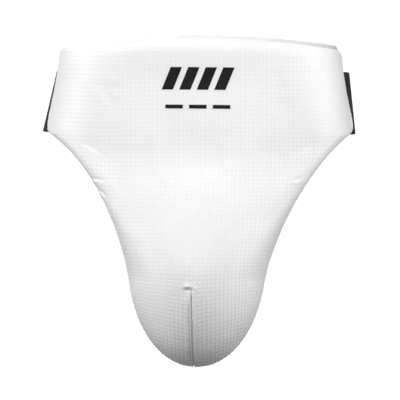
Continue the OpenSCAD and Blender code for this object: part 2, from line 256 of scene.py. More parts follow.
def slab(top, base, first=0):
    """Points and faces of a closed plate between two grids of points."""
    rows, cols = top.shape[:2]
    n = rows * cols
    border = border_order(rows, cols)
    nxt = np.roll(border, -1)
    sides = np.stack([border, border + n, nxt + n, nxt], -1)
    faces = np.concatenate([grid_faces(rows, cols), grid_faces(rows, cols)[:, ::-1] + n, sides])
    return np.concatenate([top.reshape(-1, 3), base.reshape(-1, 3)]), (faces + first).tolist()


def finish_piece(obj, body, slot, material, *nodes):
    """Material, body and the CAD nodes that the piece stands for, which it hides. The slot argument is not
    used.
    """
    obj.data.materials.clear()
    obj.data.materials.append(material)
    if body:
        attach(obj, body)
    if nodes:
        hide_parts(*nodes)
    return obj


# -------- cloth simulation of the padding
DART_TOP = 62 * K


def seam_line(h):
    """x of the dart seam at a height."""
    return -(1.7 + 1.1 * np.clip(h / (60 * K), 0, 1)) * K


SIM_COLS = 96
SIM_RINGS = np.array([0.1, 0.2, 0.3, 0.4, 0.5, 0.6, 0.69, 0.77, 0.84, 0.9, 0.945, 0.98])
SIM_FRAMES = 20
CAP = 2.6 * MM  # a point moves at most this far
CLOTH = {"quality": 6, "mass": 0.35, "tension_stiffness": 40, "compression_stiffness": 40,
         "shear_stiffness": 20, "bending_stiffness": 6, "use_pressure": True,
         "uniform_pressure_force": 4, "vertex_group_mass": "held", "time_scale": 0.6}


def pillow_grid():
    """The closed padding on a coarse grid: front pole, front rings, edge ring, rear rings, rear pole."""
    angle = np.linspace(0, 2 * np.pi, SIM_COLS, endpoint=False)
    rings = [pad_points(np.full(SIM_COLS, r), angle, -1) for r in SIM_RINGS]
    rings.append(pad_points(np.ones(SIM_COLS), angle, -1))
    rings += [pad_points(np.full(SIM_COLS, r), angle, 1) for r in SIM_RINGS[::-1]]
    poles = [pad_points(np.zeros(1), np.zeros(1), s) for s in (-1, 1)]
    return np.concatenate([poles[0]] + rings + [poles[1]])


def simulate_padding():
    """Inflates the coarse padding with Cloth and returns how far each grid point moved."""
    start = pillow_grid()
    count = len(start)
    ring_count = 2 * len(SIM_RINGS) + 1
    faces = grid_faces(ring_count, SIM_COLS, wrap=True, first=1).tolist()
    cols = np.arange(SIM_COLS)
    nxt = (cols + 1) % SIM_COLS
    faces += [[0, 1 + b, 1 + a] for a, b in zip(cols, nxt)]
    last = 1 + (ring_count - 1) * SIM_COLS
    faces += [[count - 1, last + a, last + b] for a, b in zip(cols, nxt)]
    pillow = new_mesh("pillow_sim", start, faces)
    # the hem seam at the rear, the dart and the middle of the rear are held
    pins = pillow.vertex_groups.new(name="held")
    r_of = np.concatenate([[0], np.repeat(SIM_RINGS, SIM_COLS), np.ones(SIM_COLS),
                           np.repeat(SIM_RINGS[::-1], SIM_COLS), [0]])
    rear = np.arange(count) > 1 + (len(SIM_RINGS) + 1) * SIM_COLS
    hold = np.where(rear & (np.abs(r_of - 0.9) < 0.01), 1.0, 0.0)
    hold = np.maximum(hold, np.where(rear & (r_of < 0.75), 0.6, 0.0))
    h = start[:, 2] - TIP
    near_dart = bell(start[:, 0] - seam_line(h), 5 * MM) * (h < DART_TOP)
    hold = np.maximum(hold, near_dart * ~rear)
    for i in range(count):
        if hold[i] > 0.02:
            pins.add([i], float(hold[i]), "REPLACE")
    cloth = pillow.modifiers.new("Cloth", "CLOTH")
    for key, value in CLOTH.items():
        setattr(cloth.settings, key, value)
    cloth.settings.effector_weights.gravity = 0
    cloth.collision_settings.use_collision = False
    cloth.point_cache.frame_start = 1
    cloth.point_cache.frame_end = SIM_FRAMES
    for number in range(1, SIM_FRAMES + 1):
        bpy.context.scene.frame_set(number)
    shape = pillow.evaluated_get(bpy.context.evaluated_depsgraph_get())
    moved = np.empty(count * 3, np.float32)
    shape.data.vertices.foreach_get("co", moved)
    move = moved.reshape(-1, 3) - start
    bpy.context.scene.frame_set(1)
    bpy.data.objects.remove(pillow)
    length = np.linalg.norm(move, axis=1, keepdims=True)
    move = move * np.minimum(1, CAP / np.maximum(length, 1e-9))
    # the bound edge doesn't give, so the outline stays
    return move * (1 - 0.8 * smooth((r_of - 0.66) / 0.28))[:, None]


def spline_weights(f):
    """Catmull-Rom weights of the four neighbours for the fraction f."""
    return np.stack([
        -0.5 * f + f**2 - 0.5 * f**3,
        1 - 2.5 * f**2 + 1.5 * f**3,
        0.5 * f + 2 * f**2 - 1.5 * f**3,
        -0.5 * f**2 + 0.5 * f**3], -1)


def padding_move(r, angle, side):
    """The simulated move at any points of the padding."""
    shares = np.concatenate([[0], SIM_RINGS, [1]])
    rings = MOVE[1:-1].reshape(-1, SIM_COLS, 3)
    if side < 0:
        pole, rings = MOVE[0], rings[:len(SIM_RINGS) + 1]
    else:
        pole, rings = MOVE[-1], rings[:len(SIM_RINGS) - 1:-1]
    rows = np.concatenate([np.tile(pole, (1, SIM_COLS, 1)), rings])
    place = np.interp(r, shares, np.arange(len(shares)))
    low = np.clip(np.floor(place).astype(int), 0, len(shares) - 1)
    col = np.mod(angle, 2 * np.pi) / (2 * np.pi) * SIM_COLS
    left = np.floor(col).astype(int)
    wr = spline_weights(place - low)
    wc = spline_weights(col - left)
    total = np.zeros(r.shape + (3,))
    for i in range(4):
        row = np.clip(low + i - 1, 0, len(shares) - 1)
        for j in range(4):
            total += (wr[..., i] * wc[..., j])[..., None] * rows[row, (left + j - 1) % SIM_COLS]
    return total


MOVE = simulate_padding()


# -------- embossing and the dart, in the skin
EMBOSS_PITCH = 3.5 * MM
EMBOSS_DEPTH = 0.3 * MM
TABLE_X = 128  # half width of the table, in millimetres
MAX_STEP = 2.5 * MM  # steep places count for no more than this
# soft creases where the leg edge bends: x, height, direction, length
CREASES = [(-80, 149.5, -0.15, 5.5), (-75.5, 138.5, -0.75, 5.0), (79, 151, 0.35, 4.0)]


def pattern_places():
    """Arc lengths across and along the panel on a table of x and h."""
    xs = np.arange(-TABLE_X, TABLE_X + 1) * MM
    hs = np.arange(-2, 268) * MM
    y = mid_y(*np.meshgrid(xs, hs))
    across = np.hypot(np.diff(y, axis=1), MM)
    s = np.concatenate([np.zeros((len(hs), 1)), np.cumsum(np.minimum(across, MAX_STEP), 1)], 1)
    s -= s[:, [TABLE_X]]
    along = np.hypot(np.diff(mid_y(np.zeros(len(hs)), hs)), MM)
    t = np.concatenate([[0], np.cumsum(np.minimum(along, MAX_STEP))])
    return xs, hs, s, t


PATTERN = pattern_places()


def pattern_at(x, h):
    """Place on the flat skin: distance across and along."""
    xs, hs, s, t = PATTERN
    fx = np.clip((x - xs[0]) / MM, 0, len(xs) - 1.001)
    fh = np.clip((h - hs[0]) / MM, 0, len(hs) - 1.001)
    i = fx.astype(int)
    j = fh.astype(int)
    a = fx - i
    b = fh - j
    low = s[j, i] * (1 - a) + s[j, i + 1] * a
    high = s[j + 1, i] * (1 - a) + s[j + 1, i + 1] * a
    across = low * (1 - b) + high * b
    along = np.interp(h, hs, t)
    turn = 0.24 * smooth((95 * K - h) / (70 * K))
    return across, along - turn * np.abs(across)


def emboss(x, h):
    """Height of the embossed squares."""
    across, along = pattern_at(x, h)
    wave = 2 * np.pi / EMBOSS_PITCH
    squares = [smooth((np.cos(d * wave) + 0.25) / 0.9) for d in (across, along)]
    # the skin is stretched over the waist, which flattens the pattern
    stretch = 0.55 + 0.45 * smooth((215 * K - h) / (90 * K))
    return squares[0] * squares[1] * EMBOSS_DEPTH * stretch


def skin_relief(x, h):
    """Outward height of the skin's details: embossing, dart seam, pucker and creases."""
    off = x - seam_line(h)
    inside = smooth((DART_TOP + 2 * K - h) / (4 * K))
    relief = emboss(x, h) * (1 - bell(off, 1.6 * MM) * inside)
    relief += 0.25 * MM * bell(off + 1.6 * MM, 1.3 * MM) * inside
    relief += 0.2 * MM * bell(off - 1.6 * MM, 1.5 * MM) * inside
    relief -= 1.3 * MM * bell(off, 0.55 * MM) * inside
    relief -= 0.6 * MM * bell(off + 2.4 * MM, 0.45 * MM) * smooth((50 * K - h) / (8 * K))
    # pucker beside the dart's tip, with the hollow below it
    up = h - DART_TOP
    relief += 1.3 * MM * bell(off + 2.9 * MM, 2.9 * MM) * bell(up - 2.4 * MM, 1.8 * MM)
    relief -= 1.1 * MM * bell(off + 2.6 * MM, 3.4 * MM) * bell(up + 0.7 * MM, 1.0 * MM)
    relief -= 0.4 * MM * bell(off + 5.0 * MM, 4.0 * MM) * bell(up + 3.5 * MM, 3.0 * MM)
    relief += 0.4 * MM * bell(off - 3.2 * MM, 2.4 * MM) * bell(up - 0.5 * MM, 2.4 * MM)
    for cx, ch, turn, length in CREASES:
        along = (x - cx * K) * math.cos(turn) + (h - ch * K) * math.sin(turn)
        across = -(x - cx * K) * math.sin(turn) + (h - ch * K) * math.cos(turn)
        relief -= 0.8 * MM * bell(along, length * MM) * bell(across, 1.3 * MM)
        relief += 0.4 * MM * bell(along, length * MM) * bell(across + 2.4 * MM, 1.8 * MM)
    return relief


def outward(x, h, r, side):
    """Unit normals of the padding's skin, turning outward at the rounded edge."""
    e = 0.5 * MM
    slope_x = (mid_y(x + e, h) - mid_y(x - e, h)) / (2 * e)
    slope_h = (mid_y(x, h + e) - mid_y(x, h - e)) / (2 * e)
    s = np.clip((r - ROUND_R) / (1 - ROUND_R), 0, 1)
    face = side * unit(np.stack([-slope_x, np.ones_like(x), -slope_h], -1))
    rim = unit(np.stack([x, np.zeros_like(x), h - CORE_H], -1))
    return unit(face * np.sqrt(np.maximum(0, 1 - s * s))[..., None] + rim * s[..., None])


def skin_at(r, angle, side, lift=0.0, relief=True):
    """Final points of the skin with the simulated move and the relief."""
    base = pad_points(r, angle, side, lift)
    x = base[..., 0]
    h = base[..., 2] - TIP
    points = base + padding_move(r, angle, side)
    if relief:
        points += outward(x, h, r, side) * skin_relief(x, h)[..., None]
    return points


def even_rim(r0):
    """Spreads grid rows over the rounded edge so that it stays round."""
    start = 0.843
    beta = np.clip((r0 - start) / (1 - start), 0, 1) * np.pi / 2
    return np.where(r0 < start, r0 * ROUND_R / start, ROUND_R + (1 - ROUND_R) * np.sin(beta))


def panel_grid(rows, cols):
    """A grid over the panel as (r, angle): rows from the bowl's edge to the top edge."""
    # the side of row v is the outline from the bowl to the top corner, and its middle is on x = 0
    side = np.concatenate([bez(s, np.linspace(0, 1, 80)) for s in EDGE[:4]]) * K
    side = side[np.searchsorted(side[:, 1], 12 * K):]
    v = np.linspace(0, 1, rows)
    side_v = at_share(side, v)
    bowl = half_edge[half_edge[:, 1] <= side_v[0, 1]]
    bowl = np.concatenate([bowl[bowl[:, 0] < side_v[0, 0]], side_v[:1]])
    top = np.concatenate([bez(s, np.linspace(0, 1, 80)) for s in EDGE[4:]])[::-1] * K
    u = np.linspace(0, 1, cols // 2 + 1)
    u = 0.62 * u + 0.38 * u**3  # closer columns near the dart
    low = at_share(bowl, u)
    high = at_share(top, u)
    mid = np.stack([np.zeros(rows), np.linspace(0, high[0, 1], rows)], -1)
    uu = u[None, :, None]
    vv = v[:, None, None]
    corners = ((1 - uu) * (1 - vv) * low[0] + uu * (1 - vv) * low[-1]
               + (1 - uu) * vv * high[0] + uu * vv * high[-1])
    flat = (1 - vv) * low + vv * high + (1 - uu) * mid[:, None] + uu * side_v[:, None] - corners
    flat = np.concatenate([flat[:, :0:-1] * [-1, 1], flat], 1)
    r, angle = polar(flat[..., 0], flat[..., 1])
    return even_rim(np.clip(r, 0, 1)), angle


HEM_R = 0.905
HEM_END = HEM_R - 0.0035  # where the skin's hem folds in
HEM_SEAM = HEM_R + 0.012


def make_front_skin():
    """The embossed skin: front, rounded edge and the hem on the rear, folded in at its end."""
    rows, cols = ((431, 485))
    r, angle = panel_grid(rows, cols)
    border = border_order(rows, cols)
    r = r.ravel()
    angle = angle.ravel()
    r[border] = 1.0
    edge = ROUND_R + (1 - ROUND_R) * np.sin(np.linspace(np.pi / 2, 0, 13)[1:])
    shares = np.unique(np.maximum(np.append(edge, HEM_END), HEM_END))[::-1]
    # rings on the rear as (share, lift, relief): the last two are folded in
    rings = [(s, 0.0, True) for s in shares]
    rings += [(HEM_END, -0.9 * MM, False), (HEM_SEAM, -1.1 * MM, False)]
    n = len(border)
    points = [skin_at(r, angle, -1)]
    points += [skin_at(np.full(n, s), angle[border], 1, lift, relief) for s, lift, relief in rings]
    points = np.concatenate(points)
    faces = [grid_faces(rows, cols)]
    ring = border
    for k in range(len(rings)):
        after = rows * cols + k * n + np.arange(n)
        faces.append(np.stack([ring, after, np.roll(after, -1), np.roll(ring, -1)], -1))
        ring = after
    uv = np.stack(pattern_at(points[:, 0], points[:, 2] - TIP), -1) * 4
    return new_mesh("front_skin", points, np.concatenate(faces)[:, ::-1], uv)


def make_rear_lining():
    """The knitted lining on the rear, tucked under the skin's hem."""
    rows, cols = 151, 131
    r, angle = panel_grid(rows, cols)
    r = np.minimum(r, 1).ravel() * (HEM_R + 0.01)
    angle = angle.ravel()
    points = skin_at(r, angle, 1, lift=-0.45 * MM, relief=False)
    h = points[:, 2] - TIP
    # the lining dips beside the hem
    pressed = 0.35 * MM * bell(r - HEM_R + 0.012, 0.012)
    points -= outward(points[:, 0], h, r, 1) * pressed[:, None]
    uv = np.stack([points[:, 0], h], -1) * 4
    return new_mesh("rear_lining_cloth", points, grid_faces(rows, cols), uv)


def make_core(name, side):
    """One half of the foam padding, closed, between the skin and the parting face."""
    rings = np.array([0.08, 0.2, 0.32, 0.44, 0.56, 0.67, 0.77, 0.86, 0.92, 0.96, 0.985])
    cols = 120
    angle = np.linspace(0, 2 * np.pi, cols, endpoint=False)
    outer = [skin_at(np.full(cols, r), angle, side, lift=-1.3 * MM, relief=False) for r in rings]
    inner = []
    limit = np.maximum if side < 0 else np.minimum
    for ring in outer:
        x = ring[:, 0]
        h = ring[:, 2] - TIP
        y = mid_y(x, h) + side * (0.15 * MM + 2.6 * K * smooth((1.4 - cup_share(x, h)) / 0.22))
        inner.append(np.stack([x, limit(y, ring[:, 1]), ring[:, 2]], -1))
    poles = [stack[0].mean(0, keepdims=True) for stack in (outer, inner)]
    points = np.concatenate([poles[0]] + outer + inner[::-1] + [poles[1]])
    count = 2 * len(rings)
    faces = grid_faces(count, cols, wrap=True, first=1).tolist()
    last = 1 + (count - 1) * cols
    end = len(points) - 1
    faces += [[0, 1 + (a + 1) % cols, 1 + a] for a in range(cols)]
    faces += [[end, last + a, last + (a + 1) % cols] for a in range(cols)]
    if side < 0:
        faces = [f[::-1] for f in faces]
    return new_mesh(name, points, faces)


# -------- strips, threads and patches
RIB_DEPTH = 0.1 * MM
THREAD_SINK = 0.35  # share of a thread's radius that lies in the cloth


def strip(name, middle, across, out, width, thick, ribs):
    """A flat strap along middle: across is its width direction and out its face normal.
    Its faces carry ribs along its length, and its long edges are thinner."""
    half = 4 * ribs + 6
    u = np.linspace(-1, 1, half + 1)
    edge = np.sqrt(np.maximum(0, 1 - np.clip((np.abs(u) - 0.965) / 0.035, 0, 1) ** 2))
    face = (thick / 2 + RIB_DEPTH * np.cos(u * np.pi * ribs)) * (0.35 + 0.65 * edge)
    ring_u = np.concatenate([u, u[::-1]])
    ring_f = np.concatenate([face, -face[::-1]])
    n = len(ring_u)
    count = len(middle)
    points = (middle[:, None] + across[:, None] * (ring_u[None, :, None] * width[:, None, None] / 2)
              + out[:, None] * ring_f[None, :, None])
    faces = grid_faces(count, n, wrap=True).tolist()
    for first, turn in ((0, 1), ((count - 1) * n, -1)):
        for i in range(half):
            last = first + n - 1 - i
            faces.append([first + i, first + i + 1, last - 1, last][::-turn])
    uv = np.stack([np.repeat(arc_length(middle), n), np.tile(ring_u, count) * np.repeat(width, n) / 2], -1)
    return closed_mesh(name, points.reshape(-1, 3), faces, uv)


def threads(name, runs, pitch, radius):
    """Rows of stitches. Each run is (points, normals): a stitch dips into the cloth at both ends."""
    sides, rings = 6, 5
    points = []
    faces = []
    around = np.linspace(0, 2 * np.pi, sides, endpoint=False)
    for path, normals in runs:
        both = spread(np.concatenate([path, normals], 1), pitch)
        for a, b in zip(both[:-1], both[1:]):
            p, q = a[:3], b[:3]
            n = unit(a[3:] + b[3:])
            side = np.cross(unit(q - p), n)
            first = len(points)
            for t in np.linspace(0, 1, rings):
                rise = radius * (1 - THREAD_SINK) - radius * 2.2 * (2 * t - 1) ** 6
                size = radius * (0.55 + 0.45 * math.sin(math.pi * t) ** 0.5)
                centre = p + (q - p) * (0.06 + 0.88 * t) + n * rise
                points += [centre + size * (math.cos(w) * side + math.sin(w) * n) for w in around]
            faces += grid_faces(rings, sides, wrap=True, first=first).tolist()
            end = first + (rings - 1) * sides
            faces += [list(range(first + sides - 1, first - 1, -1)), list(range(end, end + sides))]
    return new_mesh(name, np.array(points), faces)


def face_path(x, h, side, lift, relief=False):
    """Points on the skin at x and h, with their normals, lifted outward."""
    r, angle = polar(x, h)
    normal = outward(x, h, r, side)
    return skin_at(r, angle, side, relief=relief) + normal * lift, normal


def plate(name, rows, cols, place, thick, bulge=0.0):
    """A thin closed patch. place(u, v) gives points and normals on the surface below it."""
    u, v = np.meshgrid(np.linspace(0, 1, cols), np.linspace(0, 1, rows))
    base, normal = place(u, v)
    rim = np.minimum(np.minimum(u, 1 - u) * (cols - 1), np.minimum(v, 1 - v) * (rows - 1))
    height = thick * np.where(rim < 0.5, 0.55, 1) + bulge * np.sin(np.pi * u) * np.sin(np.pi * v)
    points, faces = slab(base + normal * height[..., None], base)
    return closed_mesh(name, points, faces, np.tile(np.stack([u.ravel(), v.ravel()], -1), (2, 1)))


def box_corners(x0, x1, h0, h1):
    """Corners of a closed box."""
    return [(x0, h0), (x1, h0), (x1, h1), (x0, h1), (x0, h0)]


def seam(corners, place):
    """A run of stitches from corner to corner. place(x, h) gives its points and normals."""
    path = spread(np.array(corners, float), 1.0 * MM)
    return place(path[:, 0], path[:, 1])


# -------- materials
class Shader:
    """A short way to write a node material."""

    def __init__(self, name):
        self.material = bpy.data.materials.new(name)
        self.material.use_nodes = True
        self.tree = self.material.node_tree
        self.bsdf = self.tree.nodes["Principled BSDF"]

    def plug(self, socket, value):
        """Gives an input another node's output, a colour or a number."""
        if isinstance(value, bpy.types.NodeSocket):
            self.tree.links.new(value, socket)
        elif isinstance(value, tuple):
            socket.default_value = (*value, 1)
        else:
            socket.default_value = value

    def node(self, kind, settings=None, **inputs):
        """A new node with its settings and inputs."""
        node = self.tree.nodes.new(kind)
        for key, value in (settings or {}).items():
            setattr(node, key, value)
        for key, value in inputs.items():
            self.plug(node.inputs[key], value)
        return node

    def coords(self, kind="Object"):
        """Texture coordinates of a kind."""
        return self.node("ShaderNodeTexCoord").outputs[kind]

    def noise(self, scale, detail=3.0, rough=0.55):
        """Soft noise from 0 to 1."""
        inputs = {"Scale": scale, "Detail": detail, "Roughness": rough, "Vector": self.coords()}
        return self.node("ShaderNodeTexNoise", **inputs).outputs["Fac"]

    def cells(self, scale):
        """Distance to the nearest of scattered points."""
        return self.node("ShaderNodeTexVoronoi", Scale=scale, Vector=self.coords()).outputs["Distance"]

    def wave(self, scale, direction, distortion=0.0, kind="UV"):
        """Even bands from 0 to 1 along a direction."""
        settings = {"bands_direction": direction, "wave_profile": "SIN"}
        inputs = {"Scale": scale, "Distortion": distortion, "Vector": self.coords(kind)}
        return self.node("ShaderNodeTexWave", settings, **inputs).outputs["Fac"]

    def ramp(self, value, stops):
        """Colours for a value, with stops as (value, colour)."""
        node = self.node("ShaderNodeValToRGB", Fac=value)
        for element, (place, color) in zip(node.color_ramp.elements, stops):
            element.position = place
            element.color = (*color, 1)
        return node.outputs["Color"]

    def grey(self, value, low, high):
        """A grey from low to high over the middle of the value's range."""
        return self.ramp(value, [(0.3, (low,) * 3), (0.7, (high,) * 3)])

    def maths(self, what, a, b):
        """The sum, product or other operation of two values."""
        node = self.node("ShaderNodeMath", {"operation": what})
        self.plug(node.inputs[0], a)
        self.plug(node.inputs[1], b)
        return node.outputs[0]

    def mix(self, share, a, b, how="MIX"):
        """Colour a with a share of b."""
        settings = {"data_type": "RGBA", "blend_type": how}
        return self.node("ShaderNodeMix", settings, Factor=share, A=a, B=b).outputs["Result"]

    def bump(self, height, strength, distance, below=None):
        """Normals bent by a height, on top of the normals below."""
        inputs = {"Strength": strength, "Distance": distance, "Height": height}
        if below is not None:
            inputs["Normal"] = below
        return self.node("ShaderNodeBump", **inputs).outputs["Normal"]

    def finish(self, color, rough, normal=None, **inputs):
        """Plugs in the surface's inputs and returns the material."""
        inputs.update({"Base_Color": color, "Roughness": rough})
        if normal is not None:
            inputs["Normal"] = normal
        for key, value in inputs.items():
            self.plug(self.bsdf.inputs[key.replace("_", " ")], value)
        return self.material


def tint(color, factor):
    """The colour, darker or lighter by a factor."""
    return tuple(min(1, c * factor) for c in color)


def leather(name, color):
    """Synthetic leather: fine grain, slight mottling and painted shade in the grain's hollows."""
    s = Shader(name)
    grain = s.cells(1500)
    pores = s.noise(2600, 2)
    mottle = s.noise(28, 4)
    tone = s.ramp(mottle, [(0.3, tint(color, 0.965)), (0.7, color)])
    # painted shade: the colour is darker in the hollows of the grain bump
    fine = s.ramp(grain, [(0.0, tint(color, 0.93)), (0.5, (1, 1, 1))])
    base = s.mix(0.5, tone, fine, "MULTIPLY")
    rough = s.grey(s.noise(60, 3), 0.40, 0.52)
    normal = s.bump(pores, 0.25, 0.00012, s.bump(grain, 0.35, 0.00018))
    return s.finish(base, rough, normal, Specular_IOR_Level=0.42)


def webbing(name, color, scale=1000.0, sheen=0.08):
    """Woven elastic: ribs along its length and small cross threads."""
    s = Shader(name)
    rib = s.wave(scale * 0.32, "Y")
    cross = s.wave(scale * 0.42, "X", distortion=0.6)
    weave = s.maths("MULTIPLY", rib, cross)
    lint = s.noise(700, 3)
    base = s.mix(lint, s.ramp(weave, [(0.0, tint(color, 0.4)), (1.0, tint(color, 2.4))]), tint(color, 1.5))
    rough = s.grey(lint, 0.78, 0.92)
    normal = s.bump(lint, 0.2, 0.0002, s.bump(weave, 0.7, 0.0003))
    return s.finish(base, rough, normal, Sheen_Weight=sheen, Sheen_Roughness=0.4, Specular_IOR_Level=0.15)


def knit(name, color):
    """Knitted mesh: small holes in staggered rows between soft ribs."""
    s = Shader(name)
    rib = s.wave(115, "X")
    row = s.wave(95, "Y", distortion=1.5)
    holes = s.maths("MULTIPLY", rib, row)
    fuzz = s.noise(900, 4)
    base = s.mix(s.noise(20, 3), s.ramp(holes, [(0.1, color), (0.75, tint(color, 0.82))]),
                 s.ramp(holes, [(0.1, tint(color, 0.97)), (0.75, tint(color, 0.78))]))
    rough = s.grey(fuzz, 0.8, 0.93)
    height = s.maths("SUBTRACT", 1.0, holes)
    normal = s.bump(fuzz, 0.15, 0.0002, s.bump(height, 0.8, 0.0005))
    return s.finish(base, rough, normal, Sheen_Weight=0.2, Specular_IOR_Level=0.2)


def thread(name, color):
    """Twisted sewing thread."""
    s = Shader(name)
    twist = s.wave(900, "DIAGONAL", kind="Object")
    base = s.ramp(twist, [(0.0, tint(color, 0.78)), (1.0, color)])
    rough = s.grey(s.noise(800), 0.55, 0.7)
    return s.finish(base, rough, s.bump(twist, 0.5, 0.0001), Sheen_Weight=0.15)


def print_ink(name):
    """Black screen print that follows the leather's grain."""
    s = Shader(name)
    grain = s.cells(1500)
    wear = s.noise(420, 4)
    base = s.ramp(wear, [(0.25, (0.009, 0.009, 0.0095)), (0.7, (0.004, 0.004, 0.0042))])
    rough = s.grey(wear, 0.5, 0.36)
    return s.finish(base, rough, s.bump(grain, 0.3, 0.00015), Specular_IOR_Level=0.12)


def hook_tape(name, color, pitch, strength):
    """Closure tape: rows of small hooks, or a nap of loops."""
    s = Shader(name)
    rows = s.maths("MULTIPLY", s.wave(pitch, "X", kind="Object"), s.wave(pitch, "Z", kind="Object"))
    nap = s.noise(1400, 5, 0.7)
    base = s.mix(nap, s.ramp(rows, [(0.0, tint(color, 0.5)), (1.0, tint(color, 1.8))]), tint(color, 1.2))
    rough = s.grey(nap, 0.6, 0.95)
    return s.finish(base, rough, s.bump(nap, 0.5, 0.0004, s.bump(rows, strength, 0.0006)), Sheen_Weight=0.3)


def moulded(name, color, rough_low, rough_high, scale):
    """Moulded plastic or foam: fine skin texture and faint flow marks."""
    s = Shader(name)
    skin = s.noise(scale, 4)
    flow = s.noise(14, 2)
    base = s.ramp(flow, [(0.3, tint(color, 0.93)), (0.7, color)])
    rough = s.grey(skin, rough_low, rough_high)
    return s.finish(base, rough, s.bump(skin, 0.3, 0.0003))


WHITE = (0.90, 0.90, 0.905)
BLACK = (0.008, 0.008, 0.0086)
LEATHER = leather("white_leather", WHITE)
LINING = knit("knitted_lining", (0.80, 0.80, 0.81))
# painted shade: the white tape gets a darker grey than the skin, standing in for shade on the up-facing top
# edge
TAPE = leather("facing_tape", (0.78, 0.78, 0.785))
ELASTIC = webbing("black_elastic", BLACK)
WHITE_THREAD = thread("white_thread", (0.86, 0.86, 0.84))
GREY_THREAD = thread("grey_thread", (0.12, 0.12, 0.125))
BLACK_THREAD = thread("black_thread", (0.03, 0.03, 0.032))
INK = print_ink("black_print")
HOOKS = hook_tape("hook_tape", (0.02, 0.02, 0.022), 330, 1.0)
LOOPS = hook_tape("loop_tape", (0.025, 0.025, 0.027), 140, 0.3)
LABEL = webbing("label_ribbon", (0.85, 0.85, 0.83), 1400, 0.1)
FOAM = moulded("foam", (0.7, 0.7, 0.68), 0.8, 0.95, 900)
CUP = moulded("cup_plastic", (0.55, 0.62, 0.7), 0.35, 0.5, 500)
RUBBER = moulded("rim_rubber", (0.06, 0.06, 0.062), 0.6, 0.8, 700)

# -------- the padded panel
skin = finish_piece(make_front_skin(), "guard", "cover_leather", LEATHER, "front_cover")

lining = finish_piece(make_rear_lining(), "guard", "lining_fabric", LINING, "rear_lining")

for side, word in ((-1, "front"), (1, "rear")):
    core = make_core(f"{word}_foam_pads", side)
    finish_piece(core, "guard", "foam", FOAM, f"waist_foam_{word}", f"cup_foam_{word}")
for node, material in (("hard_cup", CUP), ("cup_rim_cushion", RUBBER)):
    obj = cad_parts[node]
    obj.data.materials.clear()
    obj.data.materials.append(material)


def make_top_binding():
    """Facing tape over the top edge: its bead stands above the skin, except near the left corner."""
    top = np.concatenate([bez(s, np.linspace(0, 1, 90)) for s in EDGE[4:]]) * K
    line = np.concatenate([top, top[-2::-1] * [-1, 1]])[::-1]
    line = spread(line[np.abs(line[:, 0]) < 111 * K], 1.0 * MM)
    _, angle = polar(line[:, 0], line[:, 1])
    ends = smooth((112 * K - line[:, 0]) / (7 * K))
    shows = smooth((line[:, 0] + 34 * K) / (28 * K)) * (0.15 + 0.85 * ends)
    gather = 1 + 0.06 * np.sin(line[:, 0] / (2.1 * MM)) * np.sin(line[:, 0] / (13 * MM))
    # the tape stands up higher towards the right corner
    stands = 2.4 * smooth((line[:, 0] - 25 * K) / (75 * K)) * ends
    bead = (0.1 + 1.75 * shows + stands) * MM * gather
    front = np.radians(101 - 16 * shows)
    section = np.concatenate([1 - np.cos(np.linspace(0, np.pi / 2, 9)), np.linspace(1.25, 8, 14)])
    betas = [np.minimum(front + np.radians(9.5) * t, np.radians(168)) for t in section]
    rows = []
    for t, beta in zip(section, betas):
        rise = np.sqrt(1 - (1 - min(1, t)) ** 2)
        fade = smooth((t - 1) / 3)
        lift = bead * rise * (1 - fade) + 0.5 * MM * fade - 0.1 * MM
        rows.append(edge_points(line, angle, beta, lift))
    rows += [edge_points(line, angle, beta, -0.35 * MM) for beta in betas[::-1]]
    rows = np.array(rows)
    n = len(line)
    faces = grid_faces(len(rows), n).tolist()
    end = (len(rows) - 1) * n
    faces += [[end + i, end + i + 1, i + 1, i] for i in range(n - 1)]
    for col in (0, n - 1):
        for k in range(len(section) - 1):
            other = len(rows) - 1 - k
            faces.append([k * n + col, (k + 1) * n + col, (other - 1) * n + col, other * n + col])
    uv = np.stack([np.tile(np.arange(n) * 0.004, len(rows)), np.repeat(np.arange(len(rows)) * 0.003, n)], -1)
    return closed_mesh("top_facing_tape", rows.reshape(-1, 3), faces, uv)


def edge_points(line, angle, beta, lift):
    """Points on the rounded edge above line. beta is 0 at the front and 180 degrees at the rear."""
    front = (beta < np.pi / 2)[:, None]
    r = ROUND_R + (1 - ROUND_R) * np.sin(beta)
    faces = [skin_at(r, angle, side, relief=False) for side in (-1, 1)]
    normals = [outward(line[:, 0], line[:, 1], r, side) for side in (-1, 1)]
    lift = np.broadcast_to(lift, beta.shape)[:, None]
    return np.where(front, *faces) + np.where(front, *normals) * lift


finish_piece(make_top_binding(), "guard", "binding_tape", TAPE, "top_binding")


def make_hem_thread():
    """The seam that holds the skin's hem down on the lining."""
    angle = np.linspace(0, 2 * np.pi, 900)
    r = np.full_like(angle, HEM_SEAM)
    points = skin_at(r, angle, 1, relief=False)
    normal = outward(points[:, 0], points[:, 2] - TIP, r, 1)
    return threads("hem_thread", [(points + normal * 0.1 * MM, normal)], 3.6 * MM, 0.32 * MM)


def make_dart_threads():
    """Topstitching left of the dart, and the seam's own stitches in its groove."""
    runs = []
    for off, low, high, lift in ((-2.4, 6, 52, 0.35), (0.0, 6, 58, -0.75)):
        h = np.linspace(high, low, 60) * K
        x = seam_line(h) + off * MM
        runs.append(face_path(x, h, -1, lift * MM))
    return threads("dart_thread", runs, 2.1 * MM, 0.3 * MM)


def make_dart_tack():
    """Short dense stitches across the dart's tip."""
    count = 15
    x = seam_line(DART_TOP) - (0.2 + 5.2 * np.linspace(0, 1, count)) * MM
    h = DART_TOP + np.where(np.arange(count) % 2 == 0, 1.2, 2.6) * MM
    return threads("dart_tack", [face_path(x, h, -1, 0.1 * MM, relief=True)], 1.4 * MM, 0.24 * MM)


finish_piece(make_hem_thread(), "guard", "white_thread", WHITE_THREAD, "hem_stitching")
finish_piece(make_dart_threads(), "guard", "white_thread", WHITE_THREAD, "dart_stitching")
finish_piece(make_dart_tack(), "guard", "white_thread", WHITE_THREAD, "dart_bartack")


